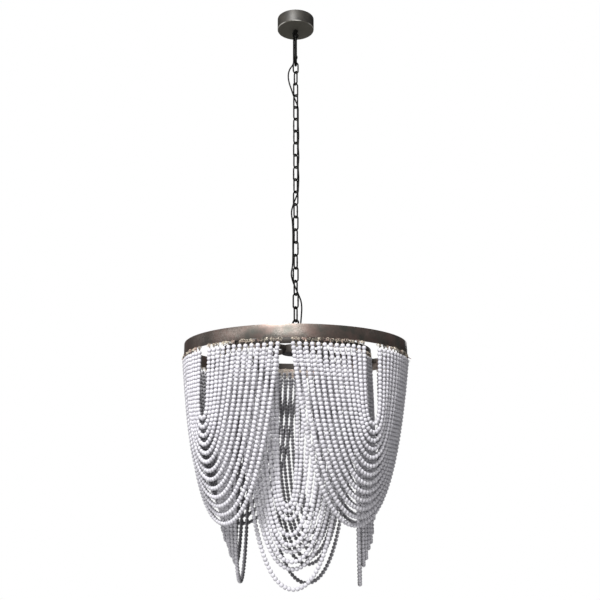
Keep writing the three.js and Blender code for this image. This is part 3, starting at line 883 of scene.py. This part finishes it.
@dataclass
class Lead(Assembly):
    """The black cord that is held all the way from the ceiling cup to the hub.

    It is made in stretches, each between two neighbouring bodies.

    Attributes:
        first_cut: The height where the stretch from the cup to the hook ends.
        bends: The heights where the first two stretches start and end to bend, though nothing bends them.
        overlap: How far beyond two links' middles the bend of the stretch between them reaches, though
            nothing bends it.
        last_bend: How far below the last link the last stretch starts to bend, and the height where it ends,
            though nothing bends it.
    """

    chain: Chain
    radius: float = 2.1
    step: float = 2.5
    route: tuple[Point, ...] = (
        (-17.2, 8, -12), (-13, 8, -12), (-8, 11.5, -15), (-5, 14.8, -22), (-5, 15, -30),
        (-5, 15, -39), (-5, 15, -47), (-5.5, 14.6, -55), (-6.15, 12, -65), (-6.15, 8.5, -78),
        (-6.15, 6.5, -102), (-6.15, 6, -126), (-6.4, 6.3, -140), (-10, 6.3, -150), (-16, 6, -159),
        (-20.5, 5, -172), (-21.8, 3.5, -188), (-18.8, 1.8, -209), (-12.2, 0.6, -231),
        (-6.6, 0, -249.6), (0, 0, -267.6), (6.4, 0, -286.6), (7.2, 0, -310), (7.4, 0, -346),
        (8.6, 0.4, -378), (7.3, 0.4, -410), (8.8, 0.6, -442),
        (7.3, 0.7, -474), (8.6, 0.8, -506), (7.6, 0.9, -536), (6.6, 0.6, -550.5), (0, 0, -569),
        (-6.7, -0.9, -588), (-11.6, -1.5, -610), (-9.2, -1.3, -640), (-7.8, -1.3, -672),
        (-7.8, -1.4, -706), (-7.8, -1.5, -740), (-8.8, -1.8, -768), (-12, -2.4, -793),
        (-7, -1.8, -816), (0, 0, -832), (7.6, 2.2, -850), (14.4, 3.6, -868), (16.6, 3.8, -888),
        (15.2, 3.4, -914), (13.6, 2.6, -940), (15.4, 1.6, -961), (19, 0.4, -977), (20, 0, -990),
        (20, 0, -1004),
    )
    first_cut: float = -100
    bends: Outline = ((-52, -80), (-128, -152))
    overlap: float = 8
    last_bend: tuple[float, float] = (6, -950)

    @staticmethod
    def _between(t: float, start: float, end: float, first: np.ndarray, last: np.ndarray) -> np.ndarray:
        """Finds where a straight way from the first to the last point is at a time."""
        return (end - t) / (end - start) * first + (t - start) / (end - start) * last

    def line(self) -> np.ndarray:
        """Follows the route on a centripetal Catmull-Rom curve.

        Returns:
            Points in millimetres, about one step apart.
        """
        p = np.array(self.route, float)
        ends = np.vstack([2 * p[0] - p[1], p, 2 * p[-1] - p[-2]])
        out = [p[0]]
        for i in range(len(p) - 1):
            near = ends[i : i + 4]
            times = [0.0]
            for first, last in zip(near, near[1:]):
                times.append(times[-1] + math.sqrt(np.linalg.norm(last - first)))
            count = max(2, round(float(np.linalg.norm(near[2] - near[1])) / self.step))
            for k in range(1, count + 1):
                t = times[1] + (times[2] - times[1]) * k / count
                a = [self._between(t, times[j], times[j + 1], near[j], near[j + 1]) for j in range(3)]
                b = [self._between(t, times[j], times[j + 2], a[j], a[j + 1]) for j in range(2)]
                out.append(self._between(t, times[1], times[2], *b))
        return np.array(out)

    def build(self) -> None:
        """Builds the stretches, each between its two bodies; the bend heights only set how many there are.
        """
        line = self.line()
        middles = self.chain.middles()
        cuts = [0, self.first_cut, *middles, -math.inf]
        more = self.overlap
        turns = [*self.bends, *((high - more, low + more) for high, low in zip(middles, middles[1:]))]
        turns.append((middles[-1] - self.last_bend[0], self.last_bend[1]))
        cord = self.palette.cord
        for i, (high, low) in enumerate(turns):
            inside = np.where((line[:, 2] <= cuts[i]) & (line[:, 2] >= cuts[i + 1]))[0]
            first, last = max(inside[0] - 1, 0), min(inside[-1] + 1, len(line) - 1)
            part = [tuple(point) for point in line[first : last + 1]]
            piece = Workshop.swept(f"lead_{i + 1:02d}", [part], self.radius, 4)
            piece.data.materials.append(self.palette.get(cord))
            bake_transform(piece)
            if i == 0:
                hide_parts("lamp_cord")
        LOG.info("lead: %d stretches", len(turns))


@dataclass
class Hub(Assembly):
    """The eye, stem, wiring cup, cover and finial that carry the rings.

    Attributes:
        turn: The azimuth of the eye's plane from the X axis, in degrees.
        grommet: Where the grommet's axis stands.
        finial: The radius and the depth of the finial's knob.
    """

    turn: float
    eye_centre: float = -931
    collar_top: float = -940
    collar: Outline = (
        (0, 1.4), (4.5, 1.2), (6.5, 0), (9.4, -0.5), (10, -1.3), (10, -4.3), (9.3, -5), (0, -5))
    stem_radius: float = 8
    stem_top: float = -945.3
    cup_top: float = -995.3
    cup_radius: float = 37
    cup_depth: float = 20
    wall: float = 1.5
    cover: float = 2
    grommet: tuple[float, float] = (20, 0)
    sleeve: Outline = ((2.4, 2.3), (6.6, 2.3), (7.5, 1.5), (7.5, 0.3), (5.5, 0.3), (5.5, -3.5), (2.4, -3.5))
    finial: tuple[float, float] = (11, 6)

    def build(self) -> None:
        """Builds and dresses the pieces."""
        lamp = Body.LAMP.value
        dark = (self.palette.dark, lamp)
        collar = Workshop.turned("hub_collar", shifted(self.collar, 0, self.collar_top), 40)
        ring = self.eye("hub_ring", 12, 5, self.eye_centre, self.turn)
        eye = Workshop.joined("hub_eye_piece", [collar, ring])
        self.dress(eye, self.palette.chain, lamp, "hub_eye")

        low = self.cup_top - self.cup_depth - GAP - self.cover
        s, t = self.stem_radius, self.stem_top
        outline = [(0, t), (s - 0.8, t), (s, t - 0.8), (s, t - 5), (s - 0.5, t - 5.5), (s - 0.5, t - 42),
                   (s, t - 42.5), (s, low - 4), (0, low - 4)]
        self.dress(Workshop.turned("stem", outline, 40), *dark, "hub_stem")

        c, r, w, d = self.cup_top, self.cup_radius, self.wall, self.cup_depth
        hole = s + GAP
        outline = [(hole, c), (r - 2.2, c), (r - 0.6, c - 0.6), (r, c - 2.2), (r, c - d), (r - w, c - d),
                   (r - w, c - 2.4), (r - 2.8, c - w), (hole, c - w)]
        self.dress(Workshop.turned("wiring_cup", outline, 72), *dark, "hub_cup")
        sleeve = Workshop.turned("sleeve", shifted(self.sleeve, 0, c), 28, self.grommet)
        self.dress(sleeve, self.palette.plastic, lamp, "hub_grommet")
        self.keep(self.palette.zinc, "stem_nut")

        k, p = c - d - GAP, self.cover
        outline = [(hole, k), (r - 0.6, k), (r, k - 0.6), (r, k - p + 0.6), (r - 0.6, k - p), (hole, k - p)]
        self.dress(Workshop.turned("cover_plate", outline, 72), *dark, "hub_cover")
        self._finial(k - p - GAP, dark)

    def _finial(self, top: float, look: tuple[Finish, str]) -> None:
        """Spins the finial: a cap with a knob under it.

        Args:
            top: The height of its top.
            look: Its finish and its body.
        """
        wide, deep = self.finial
        knob = [(wide * math.cos(a), top - 3 - deep * math.sin(a)) for a in np.linspace(0, math.pi / 2, 9)]
        cap = shifted(((0, -2), (8.3, -2), (8.3, 0), (10.6, 0), (wide, -0.4)), 0, top)
        finial = Workshop.turned("finial", [*cap, *knob[:-1], (0, top - 3 - deep)], 40)
        self.dress(finial, *look, "hub_finial")


@dataclass
class Rings(Assembly):
    """The big ring, the small ring and the four arms.

    Attributes:
        arm: An arm's width and height.
        foot: The width and the thickness of its foot at the big ring.
    """

    azimuths: dict[str, float]
    top: float = -996.6
    radius: float = 300
    band: float = 33.7
    thickness: float = 2.5
    inner_radius: float = 203
    inner_band: float = 16
    arm: tuple[float, float] = (8, 12.5)
    arm_start: float = 37.3
    arm_end: float = 296.9
    foot: tuple[float, float] = (26, 2)

    def hoop(self, name: str, radius: float, top: float, height: float, steps: int) -> Piece:
        """Spins a flat band with eased edges.

        Args:
            name: The new object's name.
            radius: Its outer radius.
            top: The height of its upper edge.
            height: How tall it is.
            steps: How many steps the turn takes.

        Returns:
            A mesh object.
        """
        inner, low, ease, chamfer = radius - self.thickness, top - height, 0.7, 0.2
        outline = [(inner + ease, top), (radius - ease, top), (radius - chamfer, top - chamfer),
                   (radius, top - ease), (radius, low + ease), (radius - chamfer, low + chamfer),
                   (radius - ease, low), (inner + ease, low), (inner, low + ease), (inner, top - ease)]
        return Workshop.turned(name, outline, steps)

    def build(self) -> None:
        """Builds and dresses the rings and the arms."""
        lamp = Body.LAMP.value
        wide, high = self.arm
        big = self.hoop("big_ring", self.radius, self.top, self.band, 224)
        self.dress(big, self.palette.ring, lamp, "ring_band")
        small = self.hoop("small_ring", self.inner_radius, self.top - high - GAP, self.inner_band, 160)
        self.dress(small, self.palette.dark, lamp, "inner_ring")
        middle = self.top - high / 2
        start, end = self.arm_start, self.arm_end
        width, thickness = self.foot
        for name, azimuth in self.azimuths.items():
            bar = Workshop.rounded_block(
                "bar", (wide, end - start, high), (0, -(start + end) / 2, middle), 0.9, azimuth)
            foot = Workshop.rounded_block(
                "foot", (width, thickness, high), (0, -end + thickness / 2, middle), 0.5, azimuth)
            arm = Workshop.joined(f"arm_piece_{name}", [bar, foot])
            self.dress(arm, self.palette.dark, lamp, f"arm_{name}")


@dataclass
class Holders(Assembly):
    """The four lamp holders under the arms.

    Attributes:
        reach: How far a holder's axis stands from the lamp's.
        cap: The outline of its cap, from the shell's top.
        rib: The outline of one rib, from the rib's upper edge.
    """

    azimuths: dict[str, float]
    reach: float = 115
    top: float = -1009.4
    radius: float = 13.5
    socket: float = 7.5
    socket_depth: float = 34
    cap: Outline = ((5, 0), (8, -0.6), (11.6, -4), (13.1, -8), (13.5, -9.5))
    shell: float = 56
    rib: Outline = ((0, 0), (0, -1.5), (-0.8, -1.9), (-0.8, -3))
    rib_pitch: float = 3.4

    def build(self) -> None:
        """Builds and dresses each holder and its brass contact."""
        t, r, s = self.top, self.radius, self.socket
        low = t - 8 - self.shell
        end = low + self.socket_depth
        ribs = []
        for i in range(6):
            ribs += shifted(self.rib, r, low + 24 - self.rib_pitch * i)
        outline = [
            (0, t), (4.6, t), (5, t - 0.4), *shifted(self.cap, 0, t - 8),
            (r, low + 30), (r - 0.7, low + 29), (r - 0.7, low + 27), *ribs,
            (r - 0.9, low + 0.8), (r - 2, low), (s, low), (s, end), (0, end)]
        lining = [(s - 0.05, low + 3), (s - 0.05, end - 0.4), (s - 0.5, end - 0.4), (s - 0.5, low + 3)]
        for name, azimuth in self.azimuths.items():
            out, _ = compass(azimuth)
            centre = (self.reach * out[0], self.reach * out[1])
            shell = Workshop.turned(f"holder_{name}", outline, 36, centre)
            self.dress(shell, self.palette.plastic, Body.LAMP.value, f"lamp_holder_{name}")
            contact = Workshop.turned(f"contact_{name}", lining, 28, centre)
            self.dress(contact, self.palette.brass, Body.LAMP.value)


@dataclass(frozen=True)
class Strand:
    """One string of beads between two points of a ring.

    Attributes:
        azimuth: The azimuth of its middle, in degrees.
        half_span: Half the angle between its ends, in degrees.
        neck: The length of the bare wire at each end.
        search: Where the search for its catenary starts and how many rounds it has.
        stiffness: How much wider the foot of the narrowest strand is than its catenary, as a share.
        stiff_spans: The half spans, in degrees, where that is full and where it ends.
    """

    radius: float
    azimuth: float
    half_span: float
    sag: float
    top: float
    neck: float = 8
    step: float = 2
    search: tuple[float, float, int] = (0.001, 20, 60)
    stiffness: float = 0.53
    stiff_spans: tuple[float, float] = (4, 12)

    def line(self) -> np.ndarray:
        """Follows the strand's catenary from end to end. Its stiff beads keep a narrow foot wider.

        Returns:
            Points in millimetres, evenly spaced, without the bare wires.
        """
        half = self.radius * math.sin(math.radians(self.half_span))
        reach = self.radius * math.cos(math.radians(self.half_span))
        sag = self.sag - self.neck
        low, high, rounds = self.search
        for _ in range(rounds):
            u = (low + high) / 2
            low, high = (u, high) if (math.cosh(u) - 1) / u < sag / half else (low, u)
        scale = half / low
        length = 2 * scale * math.sinh(low)
        s = np.linspace(-length / 2, length / 2, max(3, int(length / self.step)))
        x = scale * np.arcsinh(s / scale)
        z = np.sqrt(scale**2 + s**2) - scale + self.top - self.sag
        out, along = compass(self.azimuth)
        line = np.outer(x, along) + reach * out + np.outer(z, (0, 0, 1))
        full, end = self.stiff_spans
        narrow = max(0.0, 1 - (self.half_span - full) / (end - full))
        depth = 1 - (z - z.min()) / (z.max() - z.min())
        return line + np.outer(line @ along * self.stiffness * narrow * depth**2, along)


@dataclass
class Swags(Assembly):
    """The bead swags of both rings: beads, the strings through them and their tie wires.

    Attributes:
        shoulder: The corners moved by `fuller` across and along a bead, as shares of its radius.
        tilt: How unevenly beads tilt, in radians.
        size_spread: How unevenly they are sized, and the smallest and the largest factor.
        shaded: How far a place faces outwards where the full painted inner shade ends and where the unshaded
            colour starts.
        wires: The radii of the strings and of the ties.
        bows: How many bows each tie has, and how far they are turned at most, in radians.
        bow_place: The ranges of a bow's place outwards, along the ring and down.
        bow_size: The ranges of its half width and half height.
        tips: The ranges of a stray tip's reach, inside a swag and at its outer ends.
        sway: How far a strand hangs out of its plane, in one bow and in two.
        bulge: How far a swag's narrowest strands are pushed outwards, up to `bulge_span`, in degrees.
        outer: Name, azimuth, first and last sag, and the narrowest strand's half span and turn.
        inner: Name, azimuth, first and last sag, last half span and last drift.
    """

    bead: float = 11.6
    length: float = 10.2
    pitch: float = 10.15
    shoulder: tuple[float, float] = (0.1, 0.6)
    fuller: Point = (1.22, 1.22, 1.04)
    turn: float = -4.7
    tilt: float = 0.05
    size_spread: tuple[float, float, float] = (0.018, 0.95, 1.03)
    unevenness: float = 0.07
    # Painted shade: the factor on each bead's inward side, a baked occlusion standing in for the shade
    # inside the swags.
    painted_inner_shade: float = 0.24
    shaded: tuple[float, float] = (-0.7, 0.0)
    wires: tuple[float, float] = (0.65, 0.85)
    twist: int = 10
    bows: tuple[int, float] = (4, 1.1)
    bow_place: Outline = ((0.5, 2), (-8, 8), (1, 4))
    bow_size: Outline = ((1.8, 4.5), (1.6, 3.6))
    tips: Outline = ((2, 6), (6, 14))
    sway: tuple[float, float] = (1.6, 0.7)
    bulge: dict[str, float] = field(default_factory=lambda: {"inner_swag_right": 10.0})
    bulge_span: float = 36
    outer_top: float = -1031.6
    outer_radius: float = 298.75
    outer_count: int = 13
    widest_outer: float = 41.6
    outer: tuple[Row, ...] = (
        ("front_left", -45, 179, 427, 4.2, 0.2), ("front_right", 45, 196, 431, 5.1, -1.6),
        ("rear_right", 135, 186, 428, 4, 0), ("rear_left", -135, 190, 430, 4, 0))
    inner_top: float = -1026.7
    inner_radius: float = 201.75
    inner_first: float = 7.5
    inner_shares: tuple[float, ...] = (0, 0.07, 0.165, 0.35, 0.47, 0.55, 0.67, 0.76, 1)
    inner: tuple[Row, ...] = (
        ("front", -1.2, 390, 583, 44.5, 3.7), ("right", 90, 388, 581, 36, 0),
        ("rear", 173, 392, 590, 43.8, 0), ("left", -91, 386, 576, 45.5, 0))

    def azimuths(self) -> dict[str, float]:
        """Finds where the outer swags hang, which is where the arms and the holders are."""
        return {name: azimuth + self.turn for name, azimuth, *_ in self.outer}

    def template(self) -> tuple[np.ndarray, list[tuple[int, ...]]]:
        """Models one bead: a ball flattened at its two holes, with fuller shoulders.

        Returns:
            Its corners in millimetres, along Z, and its faces.
        """
        Workshop.clear()
        radius = self.bead / 2 * MM
        bpy.ops.mesh.primitive_uv_sphere_add(segments=8, ring_count=6, radius=radius)
        ball = bpy.context.object
        bpy.ops.object.mode_set(mode="EDIT")
        bpy.ops.mesh.select_mode(type="VERT")
        bpy.ops.mesh.select_all(action="SELECT")
        bpy.ops.transform.resize(value=(1, 1, self.length / self.bead))
        bpy.ops.mesh.select_all(action="DESELECT")
        bpy.ops.object.mode_set(mode="OBJECT")
        for corner in ball.data.vertices:
            share = math.hypot(corner.co.x, corner.co.y) / radius
            corner.select = self.shoulder[0] < share < self.shoulder[1]
        bpy.ops.object.mode_set(mode="EDIT")
        bpy.ops.transform.resize(value=self.fuller)
        bpy.ops.object.mode_set(mode="OBJECT")
        corners = np.array([v.co for v in ball.data.vertices]) / MM
        faces = [tuple(p.vertices) for p in ball.data.polygons]
        bpy.data.objects.remove(ball)
        return corners, faces

    def strands(self) -> dict[str, list[Strand]]:
        """Lays out every strand.

        Returns:
            The strands of each swag, by its node's name.
        """
        out: dict[str, list[Strand]] = {}
        last_one = self.outer_count - 1
        for name, azimuth, first, last, narrowest, offset in self.outer:
            out[f"outer_swag_{name}"] = [
                Strand(self.outer_radius, azimuth + self.turn + offset * (1 - s),
                       narrowest + (self.widest_outer - narrowest) * s,
                       first + (last - first) * s, self.outer_top)
                for s in (k / last_one for k in range(self.outer_count))]
        last_one = len(self.inner_shares) - 1
        for name, azimuth, first, last, widest, drift in self.inner:
            out[f"inner_swag_{name}"] = [
                Strand(self.inner_radius, azimuth + self.turn + drift * k / last_one,
                       self.inner_first + (widest - self.inner_first) * k / last_one,
                       first + (last - first) * share, self.inner_top)
                for k, share in enumerate(self.inner_shares)]
        return out

    def build(self) -> None:
        """Builds and dresses each swag."""
        corners, faces = self.template()
        total = 0
        for node, strands in self.strands().items():
            dice = random.Random(node)
            beads: list[tuple[Vector, Vector]] = []
            strings: list[list[Point]] = []
            ties: list[list[Point]] = []
            for strand in strands:
                line = self._sway(strand, dice, self.bulge.get(node, 0))
                beads += self._thread(line, dice)
                ends = [(x, y, strand.top + 1) for x, y, _ in (line[0], line[-1])]
                strings.append([tuple(point) for point in (ends[0], *line[::5], line[-1], ends[1])])
                ties += self._ties(line, strand, dice)
            total += len(beads)
            swag = self._string(f"{node}_beads", corners, faces, beads, dice)
            self.dress(swag, self.palette.beads, Body.LAMP.value, node)
            thin, thick = self.wires
            wires = [Workshop.swept("strings", strings, thin), Workshop.swept("ties", ties, thick)]
            tied = Workshop.joined(node.replace("swag", "wires"), wires)
            self.dress(tied, self.palette.wire, Body.LAMP.value)
        LOG.info("beads: %d", total)

    def _sway(self, strand: Strand, dice: random.Random, bulge: float) -> np.ndarray:
        """Lets a strand hang a little out of its plane, as real ones do.

        Args:
            strand: The strand.
            dice: The swag's own random numbers.
            bulge: How far the narrowest strand is pushed outwards.

        Returns:
            The strand's points.
        """
        line = strand.line()
        way, _ = compass(strand.azimuth)
        share = np.linspace(0, 1, len(line))
        pushed = bulge * max(0, 1 - strand.half_span / self.bulge_span)
        one, two = self.sway
        out = (dice.uniform(-one, one) + pushed) * np.sin(np.pi * share)
        out += dice.uniform(-two, two) * np.sin(2 * np.pi * share)
        return line + np.outer(out, way)

    def _thread(self, line: np.ndarray, dice: random.Random) -> list[tuple[Vector, Vector]]:
        """Places touching beads along a strand, so that both ends start about level.

        Args:
            line: The strand's points.
            dice: The swag's own random numbers.

        Returns:
            Each bead's place and the direction of its hole.
        """
        steps = np.linalg.norm(np.diff(line, axis=0), axis=1)
        along = np.concatenate([[0], np.cumsum(steps)])
        start = self.bead / 2 + dice.uniform(-1, 1)
        count = round((along[-1] - 2 * start) / self.pitch) + 1
        pitch = (along[-1] - 2 * start) / (count - 1)
        made = []
        for k in range(count):
            here, after, before = (
                np.array([np.interp(start + k * pitch + ahead, along, line[:, i]) for i in range(3)])
                for ahead in (0, 1, -1))
            made.append((Vector(here), Vector(after - before).normalized()))
        return made

    def _string(
        self,
        name: str,
        corners: np.ndarray,
        faces: list[tuple[int, ...]],
        beads: list[tuple[Vector, Vector]],
        dice: random.Random,
    ) -> Piece:
        """Copies the bead to every place of a swag.

        Args:
            name: The new object's name.
            corners: The bead's corners.
            faces: The bead's faces.
            beads: Each bead's place and the direction of its hole.
            dice: The swag's own random numbers.

        Returns:
            A mesh object with a value at each corner: the bead's random lightness times a painted shade on
            its inward side.
        """
        places, sides, tones_and_painted_shade = [], [], []
        spread, smallest, largest = self.size_spread
        dark, full = self.shaded
        for i, (centre, way) in enumerate(beads):
            tilt = Vector([dice.gauss(0, self.tilt) for _ in range(3)])
            lay = (way + tilt).to_track_quat("Z", "Y").to_matrix()
            lay = lay @ Matrix.Rotation(dice.uniform(0, FULL_TURN), 3, "Z")
            size = min(max(dice.gauss(1, spread), smallest), largest)
            turned = corners @ np.array(lay).T * size + np.array(centre)
            places.append(turned)
            sides += [tuple(v + i * len(corners) for v in face) for face in faces]
            own = 1 - abs(dice.gauss(0, self.unevenness))
            # Painted shade: each bead's side that faces the lamp's axis is darkened, standing in for the
            # shade inside the swags.
            out = np.array([centre.x, centre.y, 0]) / math.hypot(centre.x, centre.y)
            facing = (turned - np.array(centre)) @ out / (self.bead / 2)
            lit = np.clip((facing - dark) / (full - dark), 0, 1)
            tones_and_painted_shade += (own * (self.painted_inner_shade + (1 - self.painted_inner_shade) * lit)).tolist()
        mesh = bpy.data.meshes.new(name)
        mesh.from_pydata((np.vstack(places) * MM).tolist(), [], sides)
        mesh.attributes.new("tone_and_painted_shade", "FLOAT", "POINT").data.foreach_set("value", tones_and_painted_shade)
        piece = Workshop.add(name, mesh)
        bpy.ops.object.shade_smooth()
        return piece

    def _ties(self, line: np.ndarray, strand: Strand, dice: random.Random) -> list[list[Point]]:
        """Ties both ends of a strand: a twisted stem, bows under the band and a stray tip.

        Args:
            line: The strand's points.
            strand: The strand.
            dice: The swag's own random numbers.

        Returns:
            The wires' centre lines.
        """
        made = []
        up = Vector((0, 0, 1))
        for end in (line[0], line[-1]):
            place = Vector((end[0], end[1], strand.top + 1))
            out = Vector((end[0], end[1], 0)).normalized()
            side = Vector((-out.y, out.x, 0))
            phase = dice.uniform(0, FULL_TURN)
            for half in (0, math.pi):
                made.append([
                    tuple(place - up * k + (out * math.cos(a) + side * math.sin(a)))
                    for k, a in ((k, phase + half + k) for k in range(self.twist))])
            count, most = self.bows
            for _ in range(count):
                ahead, aside, down = (dice.uniform(*span) for span in self.bow_place)
                middle = place + out * ahead + side * aside - up * down
                turn = dice.uniform(-most, most)
                across = side * math.cos(turn) + out * math.sin(turn)
                wide, tall = (dice.uniform(*span) for span in self.bow_size)
                made.append([
                    tuple(middle + across * wide * math.cos(a) + up * tall * math.sin(a))
                    for a in (k * 0.8 for k in range(8))])
            inside, outside = self.tips
            reach = dice.uniform(*inside)
            last_ones = strand.radius == self.outer_radius and abs(strand.half_span - self.widest_outer) < 5
            if last_ones and abs(out.x) > 0.97:
                reach = dice.uniform(*outside)
            root = place + out * 1.4 - up * dice.uniform(1, 5)
            tip = root + (out + side * dice.uniform(-1, 1) + up * dice.uniform(-0.8, 0.6)) * reach * 0.8
            made.append([tuple(root), tuple((root + tip) / 2 + up * dice.uniform(-1, 1)), tuple(tip)])
        return made


def main() -> None:
    """Builds the studio and every sub-assembly in order."""
    logging.basicConfig(level=logging.INFO, format="%(name)s: %(message)s")
    Studio().build()
    palette = Palette()
    chain = Chain(palette)
    swags = Swags(palette)
    Lead(palette, chain).build()
    Canopy(palette).build()
    SnapHook(palette).build()
    chain.build()
    Hub(palette, chain.turn(chain.count + 1)).build()
    Rings(palette, swags.azimuths()).build()
    Holders(palette, swags.azimuths()).build()
    swags.build()


if __name__ == "__main__":
    main()
